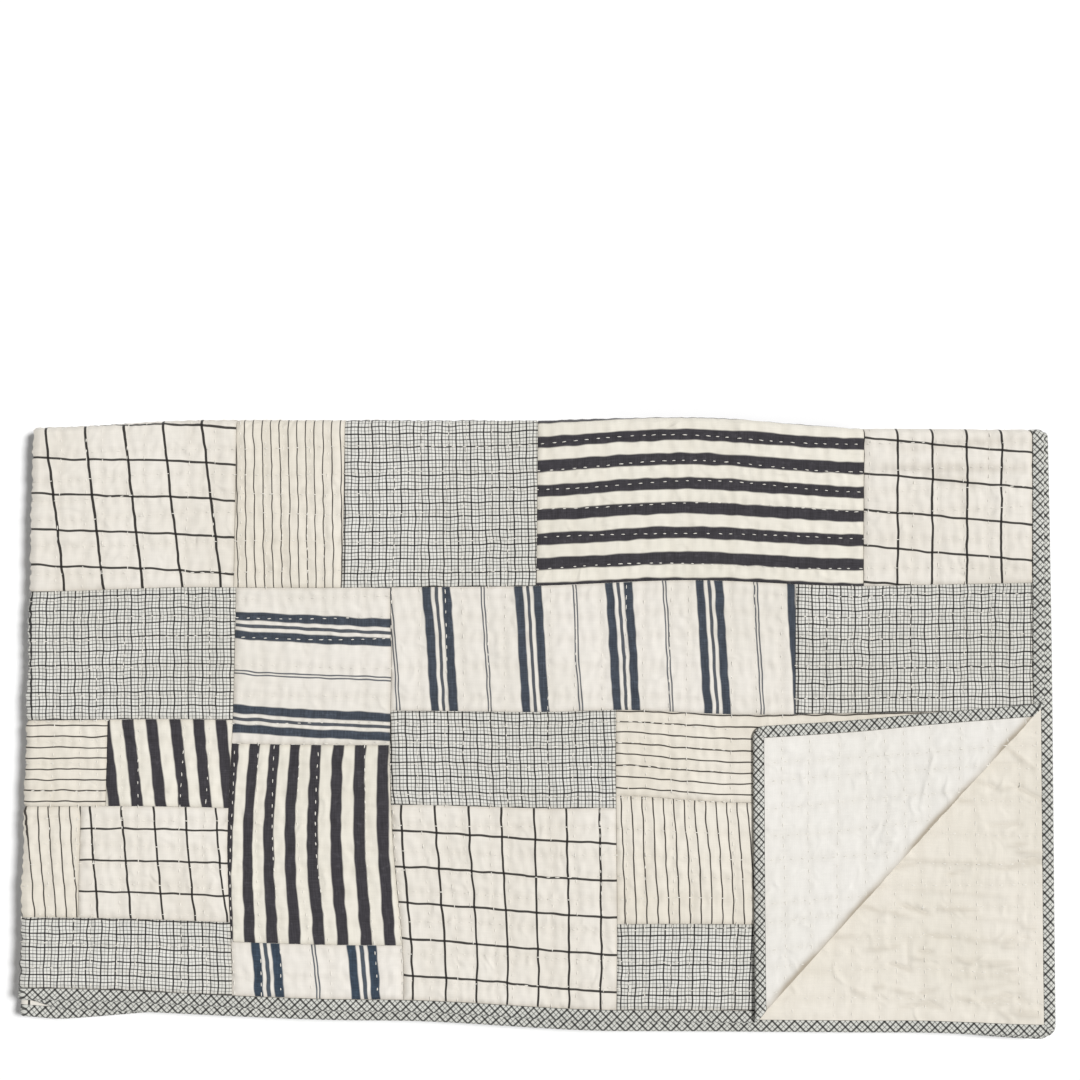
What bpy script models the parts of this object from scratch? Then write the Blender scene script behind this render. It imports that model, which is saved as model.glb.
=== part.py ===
"""A patchwork quilt folded into eight layers, with the front right corner of the top layer turned back.

The quilt is laid out flat first, as a sheet of its real cut size, and that sheet is then folded:
the left half under the right one, then the far half of the length under the near half, and the same
once more. The top, the backing and the binding are cut from the one flat sheet, so they fold together.
"""

import math

import bmesh
import bpy
from mathutils import Matrix, Vector

# Cut size of the quilt, across and along
WIDTH = 2.300
LENGTH = 2.700
BINDING_WIDTH = 0.013
SEAM_GAP = 0.0005

# Heights of the sewn cloths above the backing's outer face
SHEET_THICKNESS = 0.0035
BACKING_FROM, BACKING_TO = 0.0, 0.0009
TOP_FROM, TOP_TO = 0.0013, SHEET_THICKNESS

# The binding's outer edge is rounded over this width, down to this half thickness
EDGE_ROUNDING = 0.0025
EDGE_HALF_THICKNESS = 0.0009

# From one layer of the stack to the next
PITCH = 0.0044

# `layers` turn down together at a fold, and `reach` stretches or flattens their roll
LEFT_FOLD = dict(layers=1, reach=1.8, steps=6)
FRONT_FOLD = dict(layers=2, reach=1.0, steps=6)
BACK_FOLD = dict(layers=4, reach=0.65, steps=7)
FRONT_FOLD_OUT = 0.003

# How far the edges stand out past the top layer's: on the right, at the front, and at the front right
# corner. `half` and `quarter` say which half of the width and quarter of the length the layer is.
OVERHANGS = [
    dict(layer=1, half=+1, quarter=0, right=0.000, front=0.0000, corner=0.0000),
    dict(layer=2, half=-1, quarter=0, right=0.010, front=0.0105, corner=0.0105),
    dict(layer=3, half=-1, quarter=3, right=0.006, front=0.0040, corner=0.0140),
    dict(layer=4, half=+1, quarter=3, right=0.004, front=0.0020, corner=0.0040),
    dict(layer=5, half=+1, quarter=2, right=0.007, front=0.0000, corner=0.0000),
    dict(layer=6, half=-1, quarter=2, right=0.003, front=0.0000, corner=0.0000),
    dict(layer=7, half=-1, quarter=1, right=0.006, front=0.0000, corner=0.0000),
    dict(layer=8, half=+1, quarter=1, right=0.005, front=0.0000, corner=0.0000),
]
# The third and fourth layers' front edge slips out further beside the left fold
SLIP = 0.020
SLIP_WIDTH = 0.240

# An edge is shifted gradually: over these widths from the left fold, to the corner, and along the cloth
FOLD_EASE = 0.048
CORNER_FROM = 0.860
EDGE_EASE = 0.400

# The turned-back corner: where its crease meets the right and the front edge of the top layer
CREASE_UP_RIGHT_EDGE = 0.361
CREASE_ALONG_FRONT_EDGE = 0.330
CREASE_ROLL = 0.0036
CREASE_STEPS = 8
FLAP_TAKE_UP = 0.91
FLAP_SLIDE = 0.070
FLAP_SETTLE = 0.0024
FLAP_SETTLE_WIDTH = 0.090

# How far the outline stands out from a straight line, by the distance from the left fold
BACK_EDGE = [
    dict(at=0.00, out=-0.006),
    dict(at=0.20, out=0.003),
    dict(at=0.55, out=0.003),
    dict(at=0.74, out=0.007),
    dict(at=0.97, out=-0.006),
    dict(at=1.16, out=-0.007),
]
FRONT_EDGE = [
    dict(at=0.00, out=-0.020),
    dict(at=0.40, out=-0.006),
    dict(at=0.68, out=0.006),
    dict(at=0.99, out=0.008),
    dict(at=1.16, out=0.013),
]
LEAN = 0.0045

# The top of the stack rises and sinks a little, in slanting waves, and its lower half lies flat.
# The rise starts at the first of these shares of the stack's height and is full at the second.
LOFT = 0.0012
LOFT_WAVE = 0.62
LOFT_SLANT = 0.35
LOFT_PHASE = 0.6
LOFT_FROM, LOFT_FULL = 0.5, 0.9

# The quilting's soft troughs on the top layer, from this far inside its edges
QUILTING_PITCH = 0.048
QUILTING_DEPTH = 0.0005
QUILTED_FROM = 0.024

# The cloth is cut into cells this long, or into this many between the back and the front folds
CELL = 0.144
HIDDEN_CELLS = 5

FIBRE_ROUGHNESS = 0.9
COLOURS = {
    "patchwork_top": (0.46, 0.45, 0.43, 1.0),
    "plain_backing": (0.84, 0.80, 0.72, 1.0),
    "edge_binding": (0.30, 0.29, 0.27, 1.0),
}


def eased(share):
    """A smooth step from 0 to 1."""
    share = min(max(share, 0.0), 1.0)
    return share * share * (3 - 2 * share)


def read_off(rows, at):
    """The outline's offset at a distance from the left fold, eased from row to row."""
    if at <= rows[0]["at"]:
        return rows[0]["out"]
    for low, high in zip(rows, rows[1:]):
        if at <= high["at"]:
            share = eased((at - low["at"]) / (high["at"] - low["at"]))
            return low["out"] + share * (high["out"] - low["out"])
    return rows[-1]["out"]


def fold_depth(fold):
    """How far the fold's axis lies under the middle of its uppermost layer."""
    return (fold["layers"] - 0.5) * PITCH


def fold_length(fold):
    """The length of cloth that a fold takes up: half a turn at the mean of its layers' radii."""
    return math.pi * fold["layers"] * PITCH / 2


def fold_under(along, height, start, fold):
    """The sheet past the start of a fold rolls down and runs back under itself."""
    past = along - start
    if past <= 0:
        return along, height
    axis = -fold_depth(fold)
    radius = height - axis
    if past >= fold_length(fold):
        return start + fold_length(fold) - past, axis - radius
    turn = math.pi * past / fold_length(fold)
    return start + fold["reach"] * radius * math.sin(turn), axis + radius * math.cos(turn)


LEFT_START = -fold_length(LEFT_FOLD) / 2
FRONT_START = LENGTH / 2 - fold_length(FRONT_FOLD) / 2
FRONT_TIP = FRONT_START + FRONT_FOLD["reach"] * (fold_depth(FRONT_FOLD) + SHEET_THICKNESS / 2)
BACK_START = (FRONT_TIP - FRONT_FOLD_OUT - fold_length(BACK_FOLD)) / 2
BACK_TIP = BACK_START + BACK_FOLD["reach"] * (fold_depth(BACK_FOLD) + SHEET_THICKNESS / 2)
CREASE_LENGTH = math.pi * CREASE_ROLL
STACK_DEPTH = 7 * PITCH + SHEET_THICKNESS / 2
STACK_HEIGHT = 7 * PITCH + SHEET_THICKNESS


def crease_frame():
    """A point on the crease, the direction from it to the corner, and the direction along it."""
    right, front = CREASE_UP_RIGHT_EDGE, CREASE_ALONG_FRONT_EDGE
    length = math.hypot(right, front)
    corner_way = (right / length, -front / length)
    along_way = (front / length, right / length)
    return (WIDTH / 2, right), corner_way, along_way


def past_crease(x, y):
    """How far a point of the flat top layer lies past the line where the corner starts to roll up."""
    point, corner_way, _ = crease_frame()
    outer_roll = CREASE_ROLL + SHEET_THICKNESS / 2
    return (x - point[0]) * corner_way[0] + (y - point[1]) * corner_way[1] + outer_roll


def turn_back(x, y, height):
    """Past the crease the corner rolls up and lies back on the top layer, its backing upwards."""
    _, corner_way, along_way = crease_frame()
    past = past_crease(x, y)
    if past <= 0:
        return x, y, height
    radius = CREASE_ROLL - height
    if past < CREASE_LENGTH:
        turn = math.pi * past / CREASE_LENGTH
        out, slide = radius * math.sin(turn), 0.0
        height = CREASE_ROLL - radius * math.cos(turn)
    else:
        over = past - CREASE_LENGTH
        out, slide = -FLAP_TAKE_UP * over, FLAP_SLIDE * over
        height = CREASE_ROLL + radius - FLAP_SETTLE * eased(over / FLAP_SETTLE_WIDTH)
    shift = out - past
    x += shift * corner_way[0] + slide * along_way[0]
    y += shift * corner_way[1] + slide * along_way[1]
    return x, y, height


def overhang(half, quarter, side):
    for row in OVERHANGS:
        if row["half"] == half and row["quarter"] == quarter:
            return row[side]
    return 0.0


def right_overhang(half, along):
    """The right edge's offset, read between the middles of the four quarters of the length."""
    place = min(max(along / LENGTH * 4 - 0.5, 0.0), 3.0)
    low = min(int(place), 2)
    share = eased(place - low)
    start, end = overhang(half, low, "right"), overhang(half, low + 1, "right")
    return start + share * (end - start)


def front_overhang(half, quarter, from_fold):
    """The front edge's offset, from none at the left fold to the corner's own."""
    front, corner = overhang(half, quarter, "front"), overhang(half, quarter, "corner")
    near_corner = eased((from_fold - CORNER_FROM) / (WIDTH / 2 - CORNER_FROM))
    return eased(from_fold / FOLD_EASE) * (front + near_corner * (corner - front))


def shift_edges(across, along):
    """The layers don't lie quite square on each other, so the sheet is shifted near its free edges."""
    half = 1 if across >= 0 else -1
    from_fold = abs(across)
    to_edge = WIDTH / 2 - from_fold
    moved = across + half * right_overhang(half, along) * eased(1 - to_edge / (2 * EDGE_EASE))
    near_end = eased(1 - along / EDGE_EASE)
    far_end = eased(1 - (LENGTH - along) / EDGE_EASE)
    slip = SLIP * (1 - eased(from_fold / SLIP_WIDTH))
    along_moved = along - near_end * front_overhang(half, 0, from_fold)
    along_moved += far_end * (front_overhang(half, 3, from_fold) + slip)
    return moved, along_moved


def round_corner(across, along):
    """The binding's four corners are rounded to its own width."""
    half = 1 if across >= 0 else -1
    end = 1 if along > LENGTH / 2 else -1
    past_side = abs(across) - (WIDTH / 2 - BINDING_WIDTH)
    past_end = abs(along - LENGTH / 2) - (LENGTH / 2 - BINDING_WIDTH)
    if past_side <= 0 or past_end <= 0:
        return across, along
    scale = max(past_side, past_end) / math.hypot(past_side, past_end)
    across -= half * past_side * (1 - scale)
    along -= end * past_end * (1 - scale)
    return across, along


def loft(x, y):
    """A gentle rise and fall of the top, in a slanting pattern."""
    wave = math.sin(2 * math.pi * (x + LOFT_SLANT * y) / LOFT_WAVE + LOFT_PHASE)
    return LOFT * wave * math.cos(math.pi * (y - LOFT_SLANT * x) / LOFT_WAVE)


def place(across, along, height_in_sheet):
    """Where a point of the flat sheet lies in the folded quilt."""
    across, along = shift_edges(*round_corner(across, along))
    height = height_in_sheet - SHEET_THICKNESS / 2
    if across > 0 and along < BACK_START:
        across, along, height = turn_back(across, along, height)
    back, height = fold_under(-across, height, LEFT_START, LEFT_FOLD)
    x = -back
    y, height = fold_under(along, height, FRONT_START, FRONT_FOLD)
    y, height = fold_under(y, height, BACK_START, BACK_FOLD)
    depth_share = min(max(y / BACK_TIP, 0.0), 1.0)
    y += read_off(BACK_EDGE, x) * depth_share - read_off(FRONT_EDGE, x) * (1 - depth_share)
    z = height + STACK_DEPTH
    z += loft(x, y) * eased((z / STACK_HEIGHT - LOFT_FROM) / (LOFT_FULL - LOFT_FROM))
    x -= LEAN * (1 - depth_share)
    return x, y, z


def spread(start, end, steps):
    """The lines from start to end, both included, at even steps."""
    return [start + (end - start) * step / steps for step in range(steps + 1)]


def edge_lines(outer, inwards):
    """The lines along one outer edge: its rounding, the binding, the cloth, and where quilting starts."""
    insets = (EDGE_ROUNDING, BINDING_WIDTH, BINDING_WIDTH + SEAM_GAP, QUILTED_FROM)
    return [outer + inwards * inset for inset in insets]


def lines_across():
    """The places across the sheet where it is cut into cells."""
    bend = spread(0, -LEFT_START, LEFT_FOLD["steps"] // 2)
    cells = [CELL * step for step in range(1, int((WIDTH / 2 - CELL / 4) / CELL) + 1)]
    half = bend[1:] + [FOLD_EASE] + cells + edge_lines(WIDTH / 2, -1)
    return sorted([0.0] + half + [-line for line in half])


def lines_along():
    """The places along the sheet where it is cut into cells."""
    front_end = FRONT_START + fold_length(FRONT_FOLD)
    back_end = BACK_START + fold_length(BACK_FOLD)
    cells = [CELL * step for step in range(1, int(BACK_START / CELL) + 1)]
    half = edge_lines(0.0, 1) + cells
    half += spread(BACK_START, back_end, BACK_FOLD["steps"])
    half += spread(back_end, FRONT_START, HIDDEN_CELLS)[1:-1]
    bend = spread(FRONT_START, front_end, FRONT_FOLD["steps"])
    return sorted(half + bend + [LENGTH - line for line in half])


def cut(bm, faces, point, direction):
    """Cuts the faces along a straight line of the flat sheet."""
    edges = {edge for face in faces for edge in face.edges}
    verts = {vert for face in faces for vert in face.verts}
    geom = list(faces) + list(edges) + list(verts)
    bmesh.ops.bisect_plane(bm, geom=geom, dist=1e-6, plane_co=point, plane_no=direction)


def middle(face):
    return face.calc_center_median()


def edge_distance(across, along):
    """How far a point lies from the sheet's nearest outer edge."""
    return min(WIDTH / 2 - abs(across), along, LENGTH - along)


def flat_sheet():
    """The whole quilt laid flat and cut along every line where it bends."""
    bm = bmesh.new()
    bmesh.ops.create_grid(bm, x_segments=1, y_segments=1, size=0.5)
    bmesh.ops.scale(bm, vec=(WIDTH, LENGTH, 1), verts=bm.verts)
    bmesh.ops.translate(bm, vec=(0, LENGTH / 2, 0), verts=bm.verts)
    for line in lines_across():
        cut(bm, bm.faces[:], (line, 0, 0), (1, 0, 0))
    for line in lines_along():
        cut(bm, bm.faces[:], (0, line, 0), (0, 1, 0))
    point, corner_way, _ = crease_frame()
    for inset in spread(0, CREASE_LENGTH, CREASE_STEPS) + [CREASE_LENGTH + FLAP_SETTLE_WIDTH / 2]:
        offset = inset - CREASE_ROLL - SHEET_THICKNESS / 2
        on_line = (point[0] + offset * corner_way[0], point[1] + offset * corner_way[1], 0)
        faces = [face for face in bm.faces if middle(face).x > WIDTH / 4 and middle(face).y < BACK_START]
        cut(bm, faces, on_line, (corner_way[0], corner_way[1], 0))
    bmesh.ops.triangulate(bm, faces=bm.faces)
    return bm


def keep(sheet, wanted):
    """A copy of the flat sheet with only the faces whose middle is wanted."""
    bm = sheet.copy()
    dropped = [face for face in bm.faces if not wanted(middle(face))]
    bmesh.ops.delete(bm, geom=dropped, context="FACES")
    return bm


def thicken(bm, low, high):
    """Gives flat cloth its thickness, with its upper face upwards."""
    upper = bm.faces[:]
    bmesh.ops.translate(bm, vec=(0, 0, low), verts=bm.verts)
    grown = bmesh.ops.extrude_face_region(bm, geom=upper, use_keep_orig=True)
    raised = [item for item in grown["geom"] if isinstance(item, bmesh.types.BMVert)]
    bmesh.ops.translate(bm, vec=(0, 0, high - low), verts=raised)
    bmesh.ops.recalc_face_normals(bm, faces=bm.faces)


def is_quilted(at):
    """Whether a point lies on the top layer's upper face, clear of its edges, folds and crease."""
    if at.z < TOP_TO - SEAM_GAP or at.x < FOLD_EASE or at.y > BACK_START:
        return False
    rolled = 0 < past_crease(at.x, at.y) < CREASE_LENGTH
    return edge_distance(at.x, at.y) > QUILTED_FROM and not rolled


def cut_quilting(bm):
    """Cuts the top layer's upper face into the small cells that carry the quilting."""
    def upper():
        return [face for face in bm.faces if is_quilted(middle(face))]

    step = QUILTING_PITCH / 2
    for number in range(1, int(WIDTH / 2 / step)):
        cut(bm, upper(), (number * step, 0, 0), (1, 0, 0))
    for number in range(1, int(BACK_START / step)):
        cut(bm, upper(), (0, number * step, 0), (0, 1, 0))


def quilting(across, along):
    """How deep the quilting draws the top layer's face in at a point."""
    wave_across = 0.5 + 0.5 * math.cos(2 * math.pi * across / QUILTING_PITCH)
    wave_along = 0.5 + 0.5 * math.cos(2 * math.pi * along / QUILTING_PITCH)
    off_fold = eased((BACK_START - along) / QUILTING_PITCH)
    return QUILTING_DEPTH * max(wave_across, wave_along) * off_fold


def finish(bm, name):
    """Folds the flat cloth into its place and makes it an object with its own material."""
    whole = [face for face in bm.faces if len(face.verts) > 3]
    bmesh.ops.triangulate(bm, faces=whole, quad_method="ALTERNATE")
    for vert in bm.verts:
        vert.co = place(*vert.co)
    mesh = bpy.data.meshes.new(name)
    bm.to_mesh(mesh)
    bm.free()
    material = bpy.data.materials.new(name)
    material.use_nodes = True
    shader = material.node_tree.nodes["Principled BSDF"]
    shader.inputs["Base Color"].default_value = COLOURS[name]
    shader.inputs["Roughness"].default_value = FIBRE_ROUGHNESS
    mesh.materials.append(material)
    mesh.shade_smooth()
    mesh.set_sharp_from_angle(angle=math.radians(50))
    piece = bpy.data.objects.new(name, mesh)
    bpy.context.collection.objects.link(piece)
    return piece


def make_top(sheet):
    bm = keep(sheet, lambda at: edge_distance(at.x, at.y) > BINDING_WIDTH + SEAM_GAP)
    thicken(bm, TOP_FROM, TOP_TO)
    cut_quilting(bm)
    for vert in bm.verts:
        if is_quilted(vert.co):
            vert.co.z -= quilting(vert.co.x, vert.co.y)
    return finish(bm, "patchwork_top")


def make_backing(sheet):
    bm = keep(sheet, lambda at: edge_distance(at.x, at.y) > BINDING_WIDTH + SEAM_GAP)
    thicken(bm, BACKING_FROM, BACKING_TO)
    return finish(bm, "plain_backing")


def make_binding(sheet):
    bm = keep(sheet, lambda at: edge_distance(at.x, at.y) < BINDING_WIDTH)
    thicken(bm, 0.0, SHEET_THICKNESS)
    centre = SHEET_THICKNESS / 2
    for vert in bm.verts:
        if edge_distance(vert.co.x, vert.co.y) < EDGE_ROUNDING / 2:
            side = 1 if vert.co.z > centre else -1
            vert.co.z = centre + side * EDGE_HALF_THICKNESS
    return finish(bm, "edge_binding")


def centre_on_floor(pieces):
    """Moves the quilt so that the middle of its underside is the origin."""
    corners = [vert.co for piece in pieces for vert in piece.data.vertices]
    low = [min(corner[axis] for corner in corners) for axis in range(3)]
    high = [max(corner[axis] for corner in corners) for axis in range(3)]
    shift = Vector((-(low[0] + high[0]) / 2, -(low[1] + high[1]) / 2, -low[2]))
    for piece in pieces:
        piece.data.transform(Matrix.Translation(shift))


for old in list(bpy.data.objects):
    bpy.data.objects.remove(old, do_unlink=True)

flat = flat_sheet()
centre_on_floor([make_top(flat), make_backing(flat), make_binding(flat)])
flat.free()
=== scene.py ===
import bisect
import math
import random

import bmesh
import bpy
from mathutils import Matrix, Vector, noise


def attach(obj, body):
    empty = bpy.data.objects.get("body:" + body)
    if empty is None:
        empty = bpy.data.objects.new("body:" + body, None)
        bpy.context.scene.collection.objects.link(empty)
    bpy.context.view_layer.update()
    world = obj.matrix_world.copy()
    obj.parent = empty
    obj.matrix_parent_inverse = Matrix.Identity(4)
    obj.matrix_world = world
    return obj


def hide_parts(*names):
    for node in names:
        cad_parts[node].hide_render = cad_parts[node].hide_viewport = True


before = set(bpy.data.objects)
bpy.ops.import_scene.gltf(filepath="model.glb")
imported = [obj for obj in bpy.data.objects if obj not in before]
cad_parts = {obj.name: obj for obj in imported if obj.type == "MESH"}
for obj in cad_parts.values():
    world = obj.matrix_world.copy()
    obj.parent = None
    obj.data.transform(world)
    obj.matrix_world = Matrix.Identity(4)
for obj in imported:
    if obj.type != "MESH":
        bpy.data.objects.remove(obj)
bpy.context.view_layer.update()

# The quilt laid flat, and its cloths' heights above the backing's outer face
WIDTH, LENGTH = 2.300, 2.700
BINDING_WIDTH = 0.013
BINDING_ROUNDING, BINDING_CROWN = 0.0026, 0.0006
BINDING_INSETS = (0.0008, 0.0017, 0.0026, 0.0060, 0.0095, 0.0122)
SEAM_GAP = 0.0005
SHEET_THICKNESS = 0.0035
BACKING_FROM, BACKING_TO = 0.0, 0.0009
TOP_FROM, TOP_TO = 0.0013, SHEET_THICKNESS
CLOTH_SIDE = WIDTH / 2 - BINDING_WIDTH - SEAM_GAP
CLOTH_END = BINDING_WIDTH + SEAM_GAP

# How the sheet is folded, as in the solids
PITCH = 0.0044
LEFT_FOLD = dict(layers=1, reach=1.8, steps=12)
FRONT_FOLD = dict(layers=2, reach=1, steps=12)
BACK_FOLD = dict(layers=4, reach=0.65, steps=16)
FRONT_FOLD_OUT = 0.003
OVERHANGS = [
    dict(half=1, quarter=0, right=0, front=0, corner=0),
    dict(half=-1, quarter=0, right=0.010, front=0.0105, corner=0.0105),
    dict(half=-1, quarter=3, right=0.006, front=0.0040, corner=0.0140),
    dict(half=1, quarter=3, right=0.004, front=0.0020, corner=0.0040),
    dict(half=1, quarter=2, right=0.007, front=0, corner=0),
    dict(half=-1, quarter=2, right=0.003, front=0, corner=0),
    dict(half=-1, quarter=1, right=0.006, front=0, corner=0),
    dict(half=1, quarter=1, right=0.005, front=0, corner=0),
]
SLIP, SLIP_WIDTH = 0.020, 0.240
FOLD_EASE, CORNER_FROM, EDGE_EASE = 0.048, 0.860, 0.400
CREASE_UP_RIGHT_EDGE, CREASE_ALONG_FRONT_EDGE = 0.361, 0.330
CREASE_ROLL, CREASE_STEPS = 0.0036, 12
FLAP_TAKE_UP, FLAP_SLIDE = 0.91, 0.070
FLAP_SETTLE, FLAP_SETTLE_WIDTH = 0.0024, 0.090
BACK_EDGE = [
    dict(at=0.00, out=-0.006),
    dict(at=0.20, out=0.003),
    dict(at=0.55, out=0.003),
    dict(at=0.74, out=0.007),
    dict(at=0.97, out=-0.006),
    dict(at=1.16, out=-0.007),
]
FRONT_EDGE = [
    dict(at=0.00, out=-0.020),
    dict(at=0.40, out=-0.006),
    dict(at=0.68, out=0.006),
    dict(at=0.99, out=0.008),
    dict(at=1.16, out=0.013),
]
LEAN = 0.0045
LOFT, LOFT_WAVE, LOFT_SLANT, LOFT_PHASE = 0.0012, 0.62, 0.35, 0.6
LOFT_FROM, LOFT_FULL = 0.5, 0.9

# Ways on the flat quilt, and from its left fold and front edge to the middle of the folded quilt
ACROSS, ALONG = (1, 0, 0), (0, 1, 0)
MIDDLE_ACROSS, MIDDLE_ALONG = 0.57506, 0.32597

# Cells of the modelled cloth where it shows, and where it is hidden in the stack
FINE_CELL = 0.003
BACKING_CELL = 0.0029
COARSE_CELL = 0.060
BINDING_CELL = 0.010
CORNER_MARGIN = 0.02

# The top layer's patches reach this far round the left fold and over the back fold
WRAP_LEFT = -0.030
WRAP_BACK = 0.725

# Hand quilting: the spacing of its rows, repeated, from a first row each way
ROWS_ACROSS = dict(first=0.234, steps=(0.0295, 0.0195, 0.0295, 0.0195, 0.049, 0.0285, 0.0305))
ROWS_ALONG = dict(first=0.5275, steps=(0.0325, 0.0235, 0.0225, 0.030, 0.034))
ROW_SWING, ROW_WAVE = 0.0016, 0.31
STITCH_PITCH = 0.0125
STITCH_HALF = (0.0025, 0.0006, 0.0005)
TROUGH_WIDTH = 0.0055
PUFF, BACKING_SHARE, RELIEF_EASE = 0.0006, 0.35, 0.012
PUCKER, PUCKER_WIDTH = 0.0005, 0.012
CRUMPLE, CRUMPLE_SIZE = 0.0005, 0.030
SEAM_DEPTH, SEAM_WIDTH = 0.0010, 0.0026
SEAM_OPEN = 0.0002

# How dark the painted shade makes the quilting rows, the creases, the seams and the turned-back corner's
# fold, 0 to 1
ROW_SHADE, CREASE_SHADE, SEAM_SHADE, FOLD_SHADE = 0.10, 0.20, 0.30, 1.05
FULL_CREASE, FOLD_SHADE_AT, FOLD_SHADE_WIDTH = 0.0015, 0.60, 0.0050

# Unevenness of the sewing: near each place the pattern is drawn this far to the right and to the back
DRIFTS = [
    dict(across=0.70, along=0.58, reach=0.15, right=0, back=0.005),
    dict(across=0.425, along=0.03, reach=0.16, right=0.018, back=0),
    dict(across=0.30, along=0.17, reach=0.10, right=-0.010, back=0),
    dict(across=0.335, along=0.29, reach=0.08, right=-0.004, back=0),
    dict(across=0.41, along=0.47, reach=0.06, right=-0.003, back=0),
    dict(across=0.66, along=0.29, reach=0.06, right=0, back=0.004),
    dict(across=0.80, along=0.27, reach=0.09, right=0, back=-0.008),
    dict(across=0.80, along=0.13, reach=0.10, right=0.006, back=0),
]
SKEW, SKEW_FULL = 0.0215, 0.450

# One repeat of each cloth's lines, in metres, unless a patch says its own
PITCHES = dict(windowpane=0.039, pinstripe=0.012, small_check=0.016, bold_stripe=0.027, ticking=0.103,
               blue_ticking=0.101)

# The patches of the top layer, in metres on the flat quilt. `pitch` is one repeat of the cloth's lines,
# `first` the first line's distance from the patch's left or near edge, and `lean` how far they slant.
PATCHES = [
    dict(name="a1", left=WRAP_LEFT, right=0.2285, near=0.475, far=WRAP_BACK, cloth="windowpane",
         pitch=0.0445, first=0.0223, lean=0.135, cross=0.0422, cross_first=0.0345, cross_lean=0.075),
    dict(name="a2", left=0.2285, right=0.352, near=0.475, far=WRAP_BACK, cloth="pinstripe",
         pitch=0.0099, first=0.005, lean=0.03),
    dict(name="a3", left=0.352, right=0.572, near=0.475, far=WRAP_BACK, cloth="small_check",
         first=0.004, lean=0.03),
    dict(name="a4", left=0.572, right=0.944, near=0.475, far=WRAP_BACK, cloth="bold_stripe", turned=True,
         pitch=0.0275, first=0.0243),
    dict(name="a5", left=0.944, right=CLOTH_SIDE, near=0.475, far=WRAP_BACK, cloth="windowpane",
         pitch=0.0395, first=0.0385, cross=0.0411, cross_first=0.0050, cross_lean=0.11),
    dict(name="b1", left=WRAP_LEFT, right=0.231, near=0.3235, far=0.475, cloth="small_check",
         first=0.002, lean=0.02),
    dict(name="b2", left=0.231, right=0.409, near=0.297, far=0.475, cloth="ticking", turned=True,
         pitch=0.1060, first=0.0285, lean=0.045),
    dict(name="b3", left=0.409, right=0.867, near=0.3355, far=0.475, cloth="ticking",
         first=0.060, lean=0.068),
    dict(name="b4", left=0.867, right=CLOTH_SIDE, near=0.3355, far=0.475, cloth="small_check",
         first=0.003),
    dict(name="c1", left=WRAP_LEFT, right=0.089, near=0.2235, far=0.3235, cloth="pinstripe", turned=True,
         pitch=0.0125, first=0.006),
    dict(name="c2", left=0.089, right=0.231, near=0.2235, far=0.3235, cloth="bold_stripe",
         pitch=0.0265, first=0.0100, lean=0.14),
    dict(name="c3", left=WRAP_LEFT, right=0.061, near=0.095, far=0.2235, cloth="pinstripe",
         first=0.006, lean=0.09),
    dict(name="c4", left=0.061, right=0.231, near=0.095, far=0.2235, cloth="windowpane",
         pitch=0.0363, first=0.0225, lean=0.10, cross=0.0364, cross_first=0.030),
    dict(name="c5", left=WRAP_LEFT, right=0.231, near=CLOTH_END, far=0.095, cloth="small_check",
         first=0.006),
    dict(name="d1", left=0.231, right=0.409, near=0.0735, far=0.297, cloth="bold_stripe",
         pitch=0.0240, first=-0.003, lean=-0.027),
    dict(name="d2", left=0.231, right=0.409, near=CLOTH_END, far=0.0735, cloth="blue_ticking",
         pitch=0.0985, first=0.0395, lean=0.04),
    dict(name="e1", left=0.409, right=0.663, near=0.230, far=0.3355, cloth="small_check",
         first=0.003, lean=0.03),
    dict(name="e2", left=0.409, right=0.663, near=CLOTH_END, far=0.230, cloth="windowpane",
         pitch=0.0376, first=0.0475, cross=0.0400, cross_first=0.028, cross_lean=0.035),
    dict(name="f1", left=0.663, right=CLOTH_SIDE, near=0.243, far=0.3355, cloth="pinstripe", turned=True,
         pitch=0.0118, first=0.0085),
    dict(name="f2", left=0.663, right=0.850, near=0.1055, far=0.243, cloth="pinstripe",
         pitch=0.0118, first=0.0098, lean=0.03),
    dict(name="f3", left=0.663, right=0.850, near=CLOTH_END, far=0.1055, cloth="small_check",
         first=0.005),
    dict(name="g1", left=0.850, right=CLOTH_SIDE, near=0.120, far=0.243, cloth="ticking",
         first=0.050),
    dict(name="g2", left=0.850, right=CLOTH_SIDE, near=CLOTH_END, far=0.120, cloth="windowpane",
         first=0.020, cross_first=0.020),
]

STRIPED = ("bold_stripe", "ticking", "blue_ticking")

# The patches that the stack hides, or nearly so, are of the same cloths in turn
HIDDEN_COLUMN, HIDDEN_ROW = 0.212, 0.162
HIDDEN_CLOTHS = ("windowpane", "small_check", "pinstripe", "ticking", "small_check", "bold_stripe",
                 "blue_ticking")

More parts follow.
